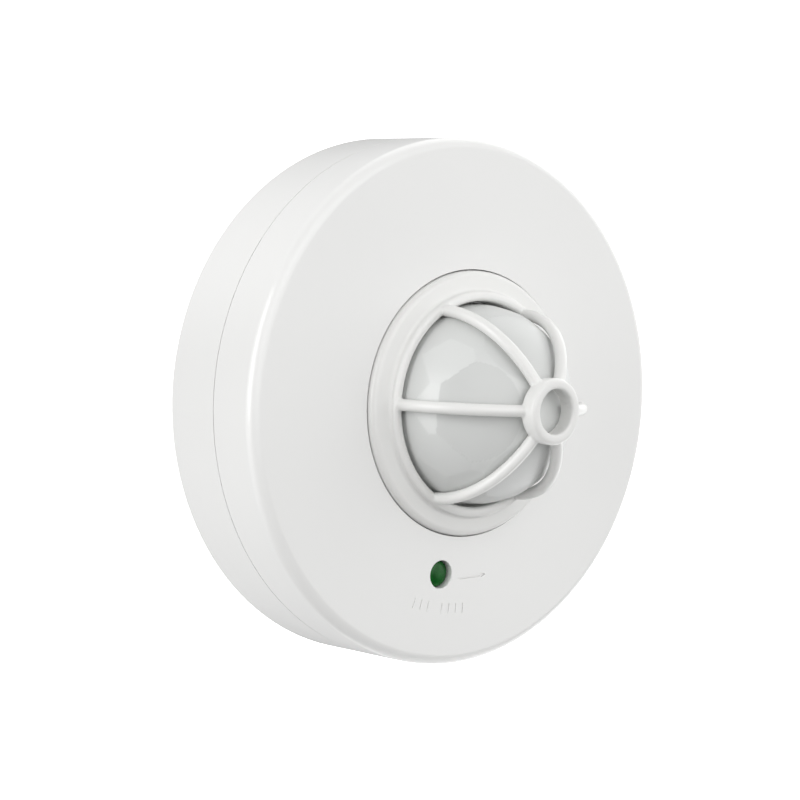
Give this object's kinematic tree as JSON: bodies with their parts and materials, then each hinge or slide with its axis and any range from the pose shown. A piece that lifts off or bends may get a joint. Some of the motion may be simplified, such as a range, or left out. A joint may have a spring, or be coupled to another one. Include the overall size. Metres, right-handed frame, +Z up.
{
  "type": "motion sensor",
  "caption": "Round surface-mounted passive infrared motion sensor: twist-off head with a domed lens inside a ribbed guard cage, and an indicator in its face.",
  "frame": {"origin": "centre of the flat back face, where the sensor meets the wall or ceiling", "axes": "+Y into the wall, so the sensor faces -Y; +Z up and +X to the right as seen from the front, with the indicator just left of straight down"},
  "size_m": [0.118, 0.0527, 0.118],
  "materials": {
    "white_shell": "satin white moulding",
    "guard_white": "satin white moulding",
    "milky_lens": "translucent milky lens film",
    "inner_white": "plain moulding",
    "soft_grey": "soft grommet rubber",
    "block_plastic": "flame-retardant grey",
    "plated_steel": "zinc plated",
    "contact_brass": "tinned edges",
    "board_green": "solder-mask green",
    "can_metal": "nickel plated",
    "filter_glass": "dark infrared filter",
    "led_green": "tinted indicator resin",
    "cell_face": "photocell track",
    "chip_black": "moulded epoxy",
    "relay_plastic": "blue relay case",
    "winding": "enamelled copper winding",
    "soft_iron": "soft iron",
    "sleeve_black": "shrink sleeve",
    "film_yellow": "film capacitor case",
    "varistor_blue": "dipped coating",
    "fuse_glass": "glass tube with end caps",
    "resistor_tan": "lacquered body",
    "trimmer_blue": "trimmer case",
    "knob_white": "trimmer rotor"
  },
  "bodies": {
    "base": {"base_shell": "white_shell", "cable_grommet": "soft_grey", "terminal_block_body": "block_plastic", "terminal_clamps": "plated_steel", "terminal_screws": "plated_steel", "terminal_block_screws": "plated_steel", "cable_clamp": "inner_white", "cable_clamp_screws": "plated_steel", "contact_springs": "contact_brass"},
    "head": {"front_cover": "white_shell", "lens_dome": "milky_lens", "lens_retainer": "inner_white", "blade_holder": "block_plastic", "lens_retainer_screws": "plated_steel", "board_screws": "plated_steel", "contact_blades": "contact_brass", "main_board": "board_green", "pyro_sensor_can": "can_metal", "pyro_pins": "can_metal", "led_legs": "can_metal", "pyro_window": "filter_glass", "indicator_led": "led_green", "photocell": "cell_face", "controller_ic": "chip_black", "voltage_regulator": "chip_black", "drive_transistor": "chip_black", "rectifier": "chip_black", "relay_case": "relay_plastic", "relay_coil": "winding", "relay_yoke": "soft_iron", "electrolytic_capacitors": "sleeve_black", "film_capacitor": "film_yellow", "varistor": "varistor_blue", "fuse": "fuse_glass", "resistors": "resistor_tan", "time_trimmer_housing": "trimmer_blue", "light_trimmer_housing": "trimmer_blue", "range_trimmer_housing": "trimmer_blue"},
    "guard": {"collar_ring": "guard_white", "guard_cage": "guard_white"},
    "time_knob": {"time_knob": "knob_white"},
    "light_knob": {"light_knob": "knob_white"},
    "range_knob": {"range_knob": "knob_white"},
    "armature": {"relay_armature": "soft_iron"}
  },
  "joints": [
    {"name": "head_twist", "type": "hinge", "parent": "base", "child": "head", "pos_m": [0, 0, 0], "axis": [0, -1, 0], "range_deg": [0, 13.5]},
    {"name": "guard_twist", "type": "hinge", "parent": "head", "child": "guard", "pos_m": [0, 0, 0], "axis": [0, -1, 0], "range_deg": [0, 20]},
    {"name": "time_trim", "type": "hinge", "parent": "head", "child": "time_knob", "pos_m": [-0.00363, -0.0229, 0.02585], "axis": [0, -1, 0], "range_deg": [-135, 135]},
    {"name": "light_trim", "type": "hinge", "parent": "head", "child": "light_knob", "pos_m": [-0.01305, -0.0229, 0.0226], "axis": [0, -1, 0], "range_deg": [-135, 135]},
    {"name": "range_trim", "type": "hinge", "parent": "head", "child": "range_knob", "pos_m": [-0.02057, -0.0229, 0.01607], "axis": [0, -1, 0], "range_deg": [-135, 135]},
    {"name": "relay_pull", "type": "hinge", "parent": "head", "child": "armature", "pos_m": [0.0023, -0.0137, 0.025], "axis": [0, 0, 1], "range_deg": [0, 3], "stiffness_Nm_per_rad": 0.02, "springref_deg": -2.86}
  ]
}
